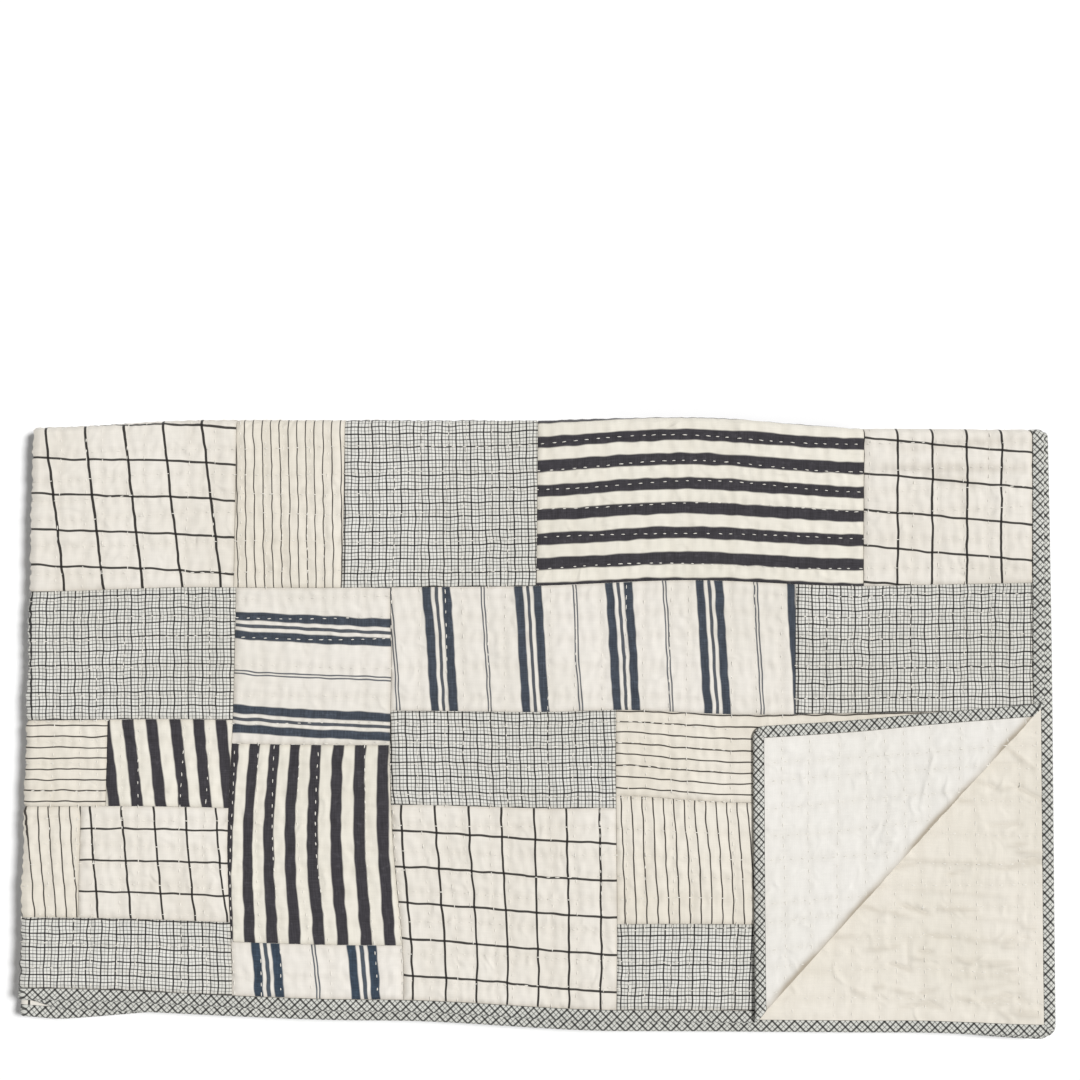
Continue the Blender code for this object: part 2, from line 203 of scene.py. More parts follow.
# Creases of the cloth where it shows, from point to point on the flat quilt, which rise or sink it
CREASES = [
    dict(start=(0.955, 0.612), end=(1.135, 0.604), width=0.0050, rise=0.0022),
    dict(start=(1.010, 0.600), end=(1.080, 0.590), width=0.0045, rise=0.0017),
    dict(start=(0.965, 0.628), end=(1.130, 0.640), width=0.0050, rise=-0.0015),
    dict(start=(-0.970, 0.150), end=(-1.135, 0.143), width=0.0028, rise=0.0010),
    dict(start=(-1.040, 0.124), end=(-1.130, 0.117), width=0.0028, rise=0.0009),
    dict(start=(-1.020, 0.100), end=(-1.130, 0.096), width=0.0030, rise=0.0011),
    dict(start=(-1.010, 0.080), end=(-1.120, 0.076), width=0.0028, rise=0.0009),
    dict(start=(-1.020, 0.060), end=(-1.110, 0.062), width=0.0028, rise=0.0009),
    dict(start=(-1.050, 0.046), end=(-1.120, 0.060), width=0.0030, rise=0.0011),
    dict(start=(-1.070, 0.026), end=(-1.128, 0.052), width=0.0030, rise=0.0011),
    dict(start=(-0.900, 0.183), end=(-1.120, 0.176), width=0.0028, rise=0.0012),
    dict(start=(-1.040, 0.285), end=(-1.130, 0.280), width=0.0028, rise=-0.0009),
    dict(start=(-0.985, 0.065), end=(-0.985, 0.104), width=0.0026, rise=-0.0010),
]

# Short wrinkles scattered over the second layer's corner, most of them lying across it
WRINKLES, WRINKLE_LENGTHS, WRINKLE_WIDTH, WRINKLE_RISE = 64, (0.014, 0.050), 0.0025, 0.0017


def scattered_wrinkles():
    dice = random.Random(4)
    rows = []
    for _ in range(WRINKLES):
        across, along = -dice.uniform(0.90, 1.13), dice.uniform(0.02, 0.30)
        turn, reach = dice.gauss(0.0, 0.25), dice.uniform(*WRINKLE_LENGTHS) / 2
        way = (reach * math.cos(turn), reach * math.sin(turn))
        rows.append(dict(start=(across - way[0], along - way[1]), end=(across + way[0], along + way[1]),
                         width=WRINKLE_WIDTH, rise=WRINKLE_RISE * dice.choice((-1, 1, 1))))
    return rows


CREASES += scattered_wrinkles()


def eased(share):
    """A smooth step from 0 to 1."""
    share = min(max(share, 0.0), 1.0)
    return share * share * (3 - 2 * share)


def bell(off):
    """1 at the middle of something, fading away on both sides."""
    return math.exp(-off * off)


def read_off(rows, at):
    """The outline's offset at a distance from the left fold, eased from row to row."""
    if at <= rows[0]["at"]:
        return rows[0]["out"]
    for low, high in zip(rows, rows[1:]):
        if at <= high["at"]:
            share = eased((at - low["at"]) / (high["at"] - low["at"]))
            return low["out"] + share * (high["out"] - low["out"])
    return rows[-1]["out"]


def fold_depth(fold):
    return (fold["layers"] - 0.5) * PITCH


def fold_length(fold):
    return math.pi * fold["layers"] * PITCH / 2


LEFT_START = -fold_length(LEFT_FOLD) / 2
FRONT_START = LENGTH / 2 - fold_length(FRONT_FOLD) / 2
FRONT_TIP = FRONT_START + FRONT_FOLD["reach"] * (fold_depth(FRONT_FOLD) + SHEET_THICKNESS / 2)
BACK_START = (FRONT_TIP - FRONT_FOLD_OUT - fold_length(BACK_FOLD)) / 2
BACK_TIP = BACK_START + BACK_FOLD["reach"] * (fold_depth(BACK_FOLD) + SHEET_THICKNESS / 2)
CREASE_LENGTH = math.pi * CREASE_ROLL
OUTER_ROLL = CREASE_ROLL + SHEET_THICKNESS / 2
STACK_DEPTH = 7 * PITCH + SHEET_THICKNESS / 2
STACK_HEIGHT = 7 * PITCH + SHEET_THICKNESS
CREASE_POINT = (WIDTH / 2, CREASE_UP_RIGHT_EDGE)
CREASE_SPAN = math.hypot(CREASE_UP_RIGHT_EDGE, CREASE_ALONG_FRONT_EDGE)
CORNER_WAY = (CREASE_UP_RIGHT_EDGE / CREASE_SPAN, -CREASE_ALONG_FRONT_EDGE / CREASE_SPAN)
ALONG_WAY = (CREASE_ALONG_FRONT_EDGE / CREASE_SPAN, CREASE_UP_RIGHT_EDGE / CREASE_SPAN)


def fold_under(along, height, start, fold):
    """The sheet past the start of a fold rolls down and runs back under itself."""
    past = along - start
    if past <= 0:
        return along, height
    axis = -fold_depth(fold)
    radius = height - axis
    if past >= fold_length(fold):
        return start + fold_length(fold) - past, axis - radius
    turn = math.pi * past / fold_length(fold)
    return start + fold["reach"] * radius * math.sin(turn), axis + radius * math.cos(turn)


def past_crease(x, y):
    """How far a point of the flat top layer lies past the line where the corner starts to roll up."""
    across_crease = (x - CREASE_POINT[0]) * CORNER_WAY[0] + (y - CREASE_POINT[1]) * CORNER_WAY[1]
    return across_crease + OUTER_ROLL


def turn_back(x, y, height):
    """Past the crease the corner rolls up and lies back on the top layer, its backing upwards."""
    past = past_crease(x, y)
    if past <= 0:
        return x, y, height
    radius = CREASE_ROLL - height
    if past < CREASE_LENGTH:
        turn = math.pi * past / CREASE_LENGTH
        out, slide = radius * math.sin(turn), 0.0
        height = CREASE_ROLL - radius * math.cos(turn)
    else:
        over = past - CREASE_LENGTH
        out, slide = -FLAP_TAKE_UP * over, FLAP_SLIDE * over
        height = CREASE_ROLL + radius - FLAP_SETTLE * eased(over / FLAP_SETTLE_WIDTH)
    shift = out - past
    x += shift * CORNER_WAY[0] + slide * ALONG_WAY[0]
    y += shift * CORNER_WAY[1] + slide * ALONG_WAY[1]
    return x, y, height


def overhang(half, quarter, side):
    for row in OVERHANGS:
        if row["half"] == half and row["quarter"] == quarter:
            return row[side]
    return 0.0


def right_overhang(half, along):
    place = min(max(along / LENGTH * 4 - 0.5, 0.0), 3.0)
    low = min(int(place), 2)
    start, end = overhang(half, low, "right"), overhang(half, low + 1, "right")
    return start + eased(place - low) * (end - start)


def front_overhang(half, quarter, from_fold):
    front, corner = overhang(half, quarter, "front"), overhang(half, quarter, "corner")
    near_corner = eased((from_fold - CORNER_FROM) / (WIDTH / 2 - CORNER_FROM))
    return eased(from_fold / FOLD_EASE) * (front + near_corner * (corner - front))


def shift_edges(across, along):
    """The layers don't lie quite square on each other, so the sheet is shifted near its free edges."""
    half = 1 if across >= 0 else -1
    from_fold = abs(across)
    to_edge = WIDTH / 2 - from_fold
    moved = across + half * right_overhang(half, along) * eased(1 - to_edge / (2 * EDGE_EASE))
    near_end = eased(1 - along / EDGE_EASE)
    far_end = eased(1 - (LENGTH - along) / EDGE_EASE)
    slip = SLIP * (1 - eased(from_fold / SLIP_WIDTH))
    along_moved = along - near_end * front_overhang(half, 0, from_fold)
    along_moved += far_end * (front_overhang(half, 3, from_fold) + slip)
    return moved, along_moved


def round_corner(across, along):
    """The binding's four corners are rounded to its own width."""
    half = 1 if across >= 0 else -1
    end = 1 if along > LENGTH / 2 else -1
    past_side = abs(across) - (WIDTH / 2 - BINDING_WIDTH)
    past_end = abs(along - LENGTH / 2) - (LENGTH / 2 - BINDING_WIDTH)
    if past_side <= 0 or past_end <= 0:
        return across, along
    scale = max(past_side, past_end) / math.hypot(past_side, past_end)
    return across - half * past_side * (1 - scale), along - end * past_end * (1 - scale)


def loft(x, y):
    """A gentle rise and fall of the top, in a slanting pattern."""
    wave = math.sin(2 * math.pi * (x + LOFT_SLANT * y) / LOFT_WAVE + LOFT_PHASE)
    return LOFT * wave * math.cos(math.pi * (y - LOFT_SLANT * x) / LOFT_WAVE)


def fold_up(across, along, height_in_sheet):
    """Where a point of the flat quilt lies once it is folded."""
    across, along = shift_edges(*round_corner(across, along))
    height = height_in_sheet - SHEET_THICKNESS / 2
    if across > 0 and along < BACK_START:
        across, along, height = turn_back(across, along, height)
    back, height = fold_under(-across, height, LEFT_START, LEFT_FOLD)
    x = -back
    y, height = fold_under(along, height, FRONT_START, FRONT_FOLD)
    y, height = fold_under(y, height, BACK_START, BACK_FOLD)
    depth_share = min(max(y / BACK_TIP, 0.0), 1.0)
    y += read_off(BACK_EDGE, x) * depth_share - read_off(FRONT_EDGE, x) * (1 - depth_share)
    z = height + STACK_DEPTH
    z += loft(x, y) * eased((z / STACK_HEIGHT - LOFT_FROM) / (LOFT_FULL - LOFT_FROM))
    x -= LEAN * (1 - depth_share)
    return Vector((x - MIDDLE_ACROSS, y - MIDDLE_ALONG, z))


def drifted(across, along):
    """Where a point of the planned layout lies on the real flat quilt, whose sewing is uneven."""
    right = 0.0
    back = SKEW * (across / (WIDTH / 2)) ** 2 * min(along / SKEW_FULL, 1.0)
    for drift in DRIFTS:
        away = math.hypot(across - drift["across"], along - drift["along"]) / drift["reach"]
        right += drift["right"] * bell(away)
        back += drift["back"] * bell(away)
    off_side = eased((CLOTH_SIDE - across) / 0.04) * eased((across - WRAP_LEFT) / 0.04)
    off_end = eased((along - CLOTH_END) / 0.04) * eased((WRAP_BACK - along) / 0.04)
    return across + right * off_side, along + back * off_end


def quilting_rows(rows, low, high):
    """The places of the quilting rows between two limits."""
    places, at, step = [], rows["first"], 0
    while at < high:
        places.append(at)
        at += rows["steps"][step % len(rows["steps"])]
        step += 1
    at, step = rows["first"], 0
    while at > low:
        step -= 1
        at -= rows["steps"][step % len(rows["steps"])]
        places.insert(0, at)
    return places


ACROSS_ROWS = quilting_rows(ROWS_ACROSS, -WIDTH / 2, WIDTH / 2)
ALONG_ROWS = quilting_rows(ROWS_ALONG, 0.0, WRAP_BACK)


def row_line(row, at):
    """A row's sideways place at a distance along it."""
    return row + ROW_SWING * math.sin(2 * math.pi * at / ROW_WAVE + 40 * row)


def row_draw(rows, place, at):
    """How strongly the nearest row draws the cloth in, and the puckers that it makes."""
    after = bisect.bisect(rows, place)
    nearest = min(rows[max(after - 1, 0):after + 1], key=lambda row: abs(row - place))
    off = abs(place - row_line(nearest, at))
    uneven = 3 * noise.noise(Vector((at, place, 9)) / 0.02)
    beat = math.sin(2 * math.pi * at / STITCH_PITCH + 60 * nearest + uneven)
    return bell(off / TROUGH_WIDTH), beat * bell(off / PUCKER_WIDTH)


def crease_rise(across, along):
    """How far the creases near a point lift or sink the cloth there."""
    rise = 0.0
    for crease in CREASES:
        start, end = crease["start"], crease["end"]
        if (start[0] < 0) != (across < 0) or abs(start[1] - along) > 0.04:
            continue
        way = (end[0] - start[0], end[1] - start[1])
        length = math.hypot(*way)
        off_start = (across - start[0], along - start[1])
        share = (off_start[0] * way[0] + off_start[1] * way[1]) / (length * length)
        off = (off_start[0] * way[1] - off_start[1] * way[0]) / length / crease["width"]
        if 0 < share < 1 and abs(off) < 3:
            rise += crease["rise"] * bell(off) * math.sin(math.pi * share) ** 0.5
    return rise


def quilted(across, along, share):
    """How far puffs, puckers, crumples and creases lift the quilted face."""
    drawn_across, puckers_across = row_draw(ACROSS_ROWS, across, along)
    drawn_along, puckers_along = row_draw(ALONG_ROWS, along, across)
    puff = PUFF * (0.5 - max(drawn_across, drawn_along))
    rise = share * (puff + PUCKER * (puckers_across + puckers_along))
    crumple = noise.fractal(Vector((across, along, 0.5)) / CRUMPLE_SIZE, 1.0, 2.0, 2)
    return rise + CRUMPLE * crumple + crease_rise(across, along)


def under_flap(across, along):
    """How surely a point of the top layer lies under the turned-back corner, 0 to 1."""
    past = past_crease(across, along) - CREASE_LENGTH / 2
    if past > 0:
        return 0.0
    mirrored = (across - 2 * past * CORNER_WAY[0], along - 2 * past * CORNER_WAY[1])
    return eased(min(WIDTH / 2 - mirrored[0], mirrored[1]) / 0.02 + 0.5)


def painted_row_and_crease_shade(across, along):
    """How dark the painted shade makes the cloth where the quilting rows and creases draw it in, 0 to 1.
    """
    drawn_across, _ = row_draw(ACROSS_ROWS, across, along)
    drawn_along, _ = row_draw(ALONG_ROWS, along, across)
    creased = min(abs(crease_rise(across, along)) / FULL_CREASE, 1.0)
    return ROW_SHADE * max(drawn_across, drawn_along) + CREASE_SHADE * creased


def top_rise(across, along, from_seam):
    """The patchwork face's relief, which is pressed flat under the flap and inside it."""
    rise = quilted(across, along, 1.0) - SEAM_DEPTH * bell(from_seam / SEAM_WIDTH)
    past = past_crease(across, along)
    inside = eased(past / 0.004) if along < BACK_START else 0.0
    return rise * (1 - inside) * (1 - 0.8 * under_flap(across, along))


def fold_shade(across, along):
    """The soft brown painted shade that lies along the turned-back corner's fold, where its roll turns
    away from the light.
    """
    if across <= 0 or along >= BACK_START:
        return 0.0
    off = (past_crease(across, along) - FOLD_SHADE_AT * CREASE_LENGTH) / FOLD_SHADE_WIDTH
    uneven = min(max(1.0 + 1.1 * noise.noise(Vector((across, along, 5)) / 0.05), 0.5), 1.3)
    return FOLD_SHADE * uneven * bell(off)


def backing_rise(across, along):
    """The backing's relief where it shows, on the flap and on the second layer's corner."""
    if along >= BACK_START:
        return 0.0
    past = past_crease(abs(across), along)
    start = 0.0 if across > 0 else RELIEF_EASE
    return quilted(across, along, BACKING_SHARE) * eased((past - start) / RELIEF_EASE)


def cut(bm, places, way, geom=None, start=(0, 0, 0)):
    """Cuts flat cloth along lines square to a direction, at these distances from a point."""
    geom = geom or bm.verts[:] + bm.edges[:] + bm.faces[:]
    for place in places:
        line = [first + place * part for first, part in zip(start, way)]
        geom = bmesh.ops.bisect_plane(bm, geom=geom, dist=1e-6, plane_co=line, plane_no=way)["geom"]
    return geom


def corner_faces(bm, half, from_side, to_end):
    """The faces by the flat quilt's near right corner, or by its near left one where half is -1."""
    middles = [(face, face.calc_center_median()) for face in bm.faces]
    return [face for face, middle in middles if half * middle.x > from_side and middle.y < to_end]


def around(faces):
    """The faces with all their edges and corners."""
    edges = {edge for face in faces for edge in face.edges}
    verts = {vert for face in faces for vert in face.verts}
    return list(verts) + list(edges) + list(faces)


def spread(start, end, cell):
    """Even steps of about one cell from start to end, both included."""
    steps = max(1, round(abs(end - start) / cell))
    return [start + (end - start) * step / steps for step in range(steps + 1)]


def crease_lines(bm, geom=None):
    """Cuts cloth into narrow strips where the corner rolls over."""
    places = [step - OUTER_ROLL for step in spread(0, CREASE_LENGTH, CREASE_LENGTH / CREASE_STEPS)]
    cut(bm, places, (*CORNER_WAY, 0), geom, (*CREASE_POINT, 0))


def rectangle(left, right, near, far, cell):
    """Flat cloth of that size, in even cells."""
    bm = bmesh.new()
    columns, rows = max(1, round((right - left) / cell)), max(1, round((far - near) / cell))
    bmesh.ops.create_grid(bm, x_segments=columns, y_segments=rows, size=0.5)
    bmesh.ops.scale(bm, vec=(right - left, far - near, 1), verts=bm.verts)
    bmesh.ops.translate(bm, vec=((left + right) / 2, (near + far) / 2, 0), verts=bm.verts)
    return bm


def thicken(bm, low, high):
    """Gives flat cloth its thickness, with its upper face upwards."""
    bmesh.ops.translate(bm, vec=(0, 0, low), verts=bm.verts)
    grown = bmesh.ops.extrude_face_region(bm, geom=bm.faces[:], use_keep_orig=True)
    raised = [item for item in grown["geom"] if isinstance(item, bmesh.types.BMVert)]
    bmesh.ops.translate(bm, vec=(0, 0, high - low), verts=raised)
    bmesh.ops.recalc_face_normals(bm, faces=bm.faces)


def uv_maps(bm, *names):
    return [bm.loops.layers.uv.new(name) for name in names]


def wobble(across, along):
    """How far puckers shift the cloth's own lines at a point."""
    small = noise.noise(Vector((across, along, 0)) / 0.016)
    return 0.0011 * small + 0.0012 * noise.noise(Vector((across, along, 7)) / 0.05)


def pattern_place(patch, across, along):
    """A point's place in its cloth's pattern, counted in repeats of its lines."""
    from_left, from_near = across - patch["left"], along - patch["near"]
    pitch, lean = patch.get("pitch", PITCHES[patch["cloth"]]), patch.get("lean", 0.0)
    shifted, lifted = wobble(across, along), wobble(along, across)
    if patch.get("turned"):
        repeat = (from_near - patch["first"] + lean * from_left + lifted) / pitch
        return repeat, (from_left + shifted) / pitch
    repeat = (from_left - patch["first"] + lean * from_near + shifted) / pitch
    cross = patch.get("cross", pitch)
    cross_first, cross_lean = patch.get("cross_first", 0.0), patch.get("cross_lean", 0.0)
    return repeat, (from_near - cross_first + cross_lean * from_left + lifted) / cross


def mesh_from(bm, name):
    mesh = bpy.data.meshes.new(name)
    bm.to_mesh(mesh)
    bm.free()
    return mesh


def in_scene(name, data):
    made = bpy.data.objects.new(name, data)
    bpy.context.collection.objects.link(made)
    return made


def finish_piece(bm, name, materials):
    """Makes the mesh an object of its own, shaded smooth, and rides it on the quilt's body."""
    mesh = mesh_from(bm, name)
    for material in materials:
        mesh.materials.append(material)
    mesh.shade_smooth()
    mesh.set_sharp_from_angle(angle=math.radians(60))
    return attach(in_scene(name, mesh), "root")


def make_patch(patch, materials):
    """One patch of the top layer, with its puffs and puckers and its edges drawn into the seams."""
    bm = rectangle(patch["left"] + SEAM_OPEN, patch["right"] - SEAM_OPEN,
                   patch["near"] + SEAM_OPEN, patch["far"] - SEAM_OPEN, FINE_CELL)
    if patch["right"] > WIDTH / 2 - CREASE_ALONG_FRONT_EDGE and patch["near"] < CREASE_UP_RIGHT_EDGE:
        crease_lines(bm)
    thicken(bm, TOP_FROM, TOP_TO)
    metres, repeats, shade = uv_maps(bm, "Metres", "Repeats", "Shade")
    for vert in bm.verts:
        across, along, height = vert.co
        to_sides = min(across - patch["left"], patch["right"] - across)
        to_seam = min(to_sides, along - patch["near"], patch["far"] - along)
        upper = height > (TOP_FROM + TOP_TO) / 2
        # Painted shade: the colour is darkened along the quilting rows, the creases and the seams, where
        # shade falls.
        dark = painted_row_and_crease_shade(across, along) + SEAM_SHADE * bell(to_seam / SEAM_WIDTH) if upper else 0.0
        on_pattern = pattern_place(patch, across, along)
        for loop in vert.link_loops:
            loop[metres].uv = (across, along)
            loop[repeats].uv = on_pattern
            loop[shade].uv = (dark, 0)
        if upper:
            height += top_rise(across, along, to_seam)
        vert.co = fold_up(*drifted(across, along), height)
    return finish_piece(bm, "patch_" + patch["name"], [materials[patch["cloth"]]])


def bend_lines(start, fold):
    return spread(start, start + fold_length(fold), fold_length(fold) / fold["steps"])


def mirrored_lines(half):
    return sorted(half + [-line for line in half])


def whole_sheet(cell, edges):
    """The whole flat quilt, cut where it bends and into coarse cells between."""
    bm = rectangle(-WIDTH / 2, WIDTH / 2, 0, LENGTH, LENGTH)
    right_half = spread(0, -LEFT_START, -LEFT_START / 6) + spread(0, WIDTH / 2 - edges, cell)[1:]
    cut(bm, mirrored_lines(right_half), ACROSS)
    near_half = spread(edges, BACK_START, cell) + bend_lines(BACK_START, BACK_FOLD)
    near_half += spread(BACK_START + fold_length(BACK_FOLD), FRONT_START, cell)[1:-1]
    lines = near_half + bend_lines(FRONT_START, FRONT_FOLD) + [LENGTH - line for line in near_half]
    cut(bm, sorted(lines), ALONG)
    return bm


def edge_distance(at):
    return min(WIDTH / 2 - abs(at.x), at.y, LENGTH - at.y)


def drop(bm, unwanted):
    """Cuts away the faces whose middle is unwanted."""
    dropped = [face for face in bm.faces if unwanted(face.calc_center_median())]
    bmesh.ops.delete(bm, geom=dropped, context="FACES")


def hidden_patch(at):
    """The patch of the hidden layers that a point lies in."""
    column, row = math.floor(at.x / HIDDEN_COLUMN), math.floor(at.y / HIDDEN_ROW)
    cloth = HIDDEN_CLOTHS[(3 * column + 5 * row) % len(HIDDEN_CLOTHS)]
    return dict(left=column * HIDDEN_COLUMN, near=row * HIDDEN_ROW, cloth=cloth, first=0.011,
                turned=(column + row) % 2 == 0)


def make_hidden_top(materials):
    """The pieced top of the layers below, with what shows of it at the folds."""
    bm = whole_sheet(COARSE_CELL, CLOTH_END)
    cut(bm, [HIDDEN_COLUMN * step for step in range(-5, 6)] + [WRAP_LEFT], ACROSS)
    cut(bm, [HIDDEN_ROW * step for step in range(1, 17)] + [WRAP_BACK], ALONG)
    drop(bm, lambda at: edge_distance(at) < CLOTH_END or (at.x > WRAP_LEFT and at.y < WRAP_BACK))
    thicken(bm, TOP_FROM, TOP_TO)
    metres, repeats = uv_maps(bm, "Metres", "Repeats")
    for face in bm.faces:
        patch = hidden_patch(face.calc_center_median())
        face.material_index = list(materials).index(patch["cloth"])
        for loop in face.loops:
            across, along, _ = loop.vert.co
            loop[metres].uv = (across, along)
            loop[repeats].uv = pattern_place(patch, across, along)
    for vert in bm.verts:
        vert.co = fold_up(*vert.co)
    return finish_piece(bm, "pieced_top_underneath", list(materials.values()))


def make_backing(materials):
    """The plain backing of the whole quilt, with its relief where it shows."""
    bm = whole_sheet(COARSE_CELL, CLOTH_END)
    drop(bm, lambda at: edge_distance(at) < CLOTH_END)
    from_side = WIDTH / 2 - CREASE_ALONG_FRONT_EDGE - CORNER_MARGIN
    to_end = CREASE_UP_RIGHT_EDGE + CORNER_MARGIN
    for half in (1, -1):
        corner = corner_faces(bm, half, from_side - COARSE_CELL, to_end + COARSE_CELL)
        columns = [half * line for line in spread(from_side, CLOTH_SIDE, BACKING_CELL)]
        geom = cut(bm, columns, ACROSS, around(corner))
        geom = cut(bm, spread(CLOTH_END, to_end, BACKING_CELL), ALONG, geom)
        if half > 0:
            crease_lines(bm, geom)
    thicken(bm, BACKING_FROM, BACKING_TO)
    metres, shade = uv_maps(bm, "Metres", "Shade")
    # The left half, the second layer's corner, takes the darker copy of the backing cloth: painted
    # shade.
    for face in bm.faces:
        face.material_index = int(face.calc_center_median().x < 0)
    for vert in bm.verts:
        across, along, height = vert.co
        # Painted shade: darker along the quilting rows and creases, and a brown painted shade along the
        # corner's fold.
        dark = painted_row_and_crease_shade(across, along) + fold_shade(*drifted(across, along))
        for loop in vert.link_loops:
            loop[metres].uv = (across, along)
            loop[shade].uv = (dark, 0)
        if height < (BACKING_FROM + BACKING_TO) / 2:
            height -= backing_rise(across, along)
        vert.co = fold_up(*drifted(across, along), height)
    return finish_piece(bm, "backing", materials)


def binding_height(from_edge):
    """Half the binding's thickness at a distance from its rounded outer edge."""
    share = min(from_edge / BINDING_ROUNDING, 1.0)
    half = SHEET_THICKNESS / 2 * math.sqrt(max(1 - (1 - share) ** 2, 0.04))
    return half + BINDING_CROWN * math.sin(math.pi * min(from_edge / BINDING_WIDTH, 1))


def make_binding(material):
    """The bias-cut strip folded round all four edges of the quilt."""
    bm = rectangle(-WIDTH / 2, WIDTH / 2, 0, LENGTH, LENGTH)
    inner_x, inner_y = WIDTH / 2 - BINDING_WIDTH, BINDING_WIDTH
    cut(bm, (-inner_x, inner_x), ACROSS)
    cut(bm, (inner_y, LENGTH - inner_y), ALONG)
    drop(bm, lambda at: edge_distance(at) > BINDING_WIDTH)
    lines = mirrored_lines([WIDTH / 2 - inset for inset in BINDING_INSETS])
    lines += spread(-inner_x, inner_x, BINDING_CELL)
    lines += mirrored_lines(spread(0, -LEFT_START, -LEFT_START / 6))
    cut(bm, lines, ACROSS)
    half = list(BINDING_INSETS) + spread(inner_y, BACK_START, BINDING_CELL)
    half += bend_lines(BACK_START, BACK_FOLD)
    half += spread(BACK_START + fold_length(BACK_FOLD), FRONT_START, BINDING_CELL)
    lines = half + bend_lines(FRONT_START, FRONT_FOLD) + [LENGTH - line for line in half]
    cut(bm, lines, ALONG)
    crease_lines(bm, around(corner_faces(bm, 1, WIDTH / 2 - 0.4, 0.4)))
    thicken(bm, -0.5, 0.5)
    metres, repeats = uv_maps(bm, "Metres", "Repeats")
    slant = math.sqrt(0.5) / BIAS_PITCH
    for vert in bm.verts:
        across, along, side = vert.co
        for loop in vert.link_loops:
            loop[metres].uv = (across, along)
            loop[repeats].uv = ((across + along) * slant, (along - across) * slant)
        half_thickness = binding_height(edge_distance(vert.co))
        height = SHEET_THICKNESS / 2 + (1 if side > 0 else -1) * half_thickness
        pull = 0.0007 * noise.noise(Vector((across, along, 3)) / 0.03)
        vert.co = fold_up(across, along, height + pull * (half_thickness / SHEET_THICKNESS))
    return finish_piece(bm, "binding", [material])


def stitch(bm, across, along, height, turn, dice):
    """One short running stitch lying on the flat quilt."""
    reach, girth, rise = STITCH_HALF
    size = dice.uniform(0.75, 1.2)
    turned = Matrix.Rotation(turn + dice.uniform(-0.12, 0.12), 4, "Z")
    shape = Matrix.Diagonal((reach * size, girth * dice.uniform(0.85, 1.15), rise, 1))
    matrix = Matrix.Translation((across, along, height)) @ turned @ shape
    bmesh.ops.create_uvsphere(bm, u_segments=6, v_segments=4, radius=1, matrix=matrix)


def stitch_places(low, high, dice):
    """Where the stitches of one row come, unevenly spaced."""
    at = low + dice.uniform(0, STITCH_PITCH)
    while at < high:
        yield at
        at += STITCH_PITCH * dice.uniform(0.82, 1.18)


def sew_row(bm, places, turn, height_at, dice):
    """Adds one row of running stitches to the others, built apart because that is much quicker."""
    row = bmesh.new()
    for across, along in places:
        stitch(row, across, along, height_at(across, along), turn, dice)
    mesh = mesh_from(row, "row")
    bm.from_mesh(mesh)
    bpy.data.meshes.remove(mesh)


def make_stitches(name, material, low, shows, height_at):
    """The hand quilting's stitches on one face of the quilt, in rows both ways, where they show."""
    bm = bmesh.new()
    dice = random.Random(11)
    for row in ACROSS_ROWS:
        places = [(row_line(row, at), at) for at in stitch_places(CLOTH_END, BACK_START + 0.02, dice)]
        sew_row(bm, [place for place in places if shows(*place, False)], math.pi / 2, height_at, dice)
    for row in ALONG_ROWS:
        places = [(at, row_line(row, at)) for at in stitch_places(low, CLOTH_SIDE, dice)]
        sew_row(bm, [place for place in places if shows(*place, True)], 0, height_at, dice)
    for vert in bm.verts:
        across, along, height = vert.co
        vert.co = fold_up(*drifted(across, along), height)
    return finish_piece(bm, name, [material])


def shows_on_top(across, along, level):
    """Stitches sink out of sight where their row crosses broad stripes."""
    inside = 0.016 < along < BACK_START + 0.02 and -0.002 < across < CLOTH_SIDE - 0.003
    clear = past_crease(across, along) < -0.001 and under_flap(across, along) < 0.6
    for patch in PATCHES:
        if patch["left"] < across < patch["right"] and patch["near"] < along < patch["far"]:
            sunk = patch["cloth"] in STRIPED and level != patch.get("turned", False)
            return inside and clear and not sunk
    return False


def height_on_top(across, along):
    return TOP_TO + top_rise(across, along, 0.01) + 0.0001


def shows_on_backing(across, along, level):
    inside = 0.016 < along < CREASE_UP_RIGHT_EDGE and abs(across) < CLOTH_SIDE - 0.002
    return inside and past_crease(abs(across), along) > (CREASE_LENGTH if across > 0 else 0.016)


def height_on_backing(across, along):
    return BACKING_FROM - backing_rise(across, along)


def linear(red, green, blue):
    """A colour of 0 to 255 as it looks under the studio light, as the shader takes it."""
    parts = [channel / 255 for channel in (red, green, blue)]
    parts = [part / 12.92 if part < 0.04045 else ((part + 0.055) / 1.055) ** 2.4 for part in parts]
    return tuple(part / STUDIO_GAIN for part in parts) + (1.0,)


def feed(tree, socket, value):
    """Links an output to a socket, or sets the socket's own value."""
    if isinstance(value, bpy.types.NodeSocket):
        tree.links.new(value, socket)
    else:
        socket.default_value = value


def maths(tree, operation, *values):
    node = tree.nodes.new("ShaderNodeMath")
    node.operation = operation
    for socket, value in zip(node.inputs, values):
        feed(tree, socket, value)
    return node.outputs[0]


def smooth_range(tree, value, low, high, to_low=0.0, to_high=1.0):
    node = tree.nodes.new("ShaderNodeMapRange")
    node.interpolation_type = "SMOOTHSTEP"
    for socket, given in zip(node.inputs, (value, low, high, to_low, to_high)):
        feed(tree, socket, given)
    return node.outputs[0]


def mix_colours(tree, share, first, second, blend="MIX"):
    node = tree.nodes.new("ShaderNodeMix")
    node.data_type, node.blend_type = "RGBA", blend
    feed(tree, node.inputs[0], share)
    feed(tree, node.inputs[6], first)
    feed(tree, node.inputs[7], second)
    return node.outputs[2]


def noise_at(tree, place, scale, detail=2.0, roughness=0.5, kind="FBM", distortion=0.0):
    node = tree.nodes.new("ShaderNodeTexNoise")
    node.noise_type = kind
    feed(tree, node.inputs["Vector"], place)
    node.inputs["Distortion"].default_value = distortion
    node.inputs["Scale"].default_value = scale
    node.inputs["Detail"].default_value = detail
    node.inputs["Roughness"].default_value = roughness
    return node.outputs["Fac"]


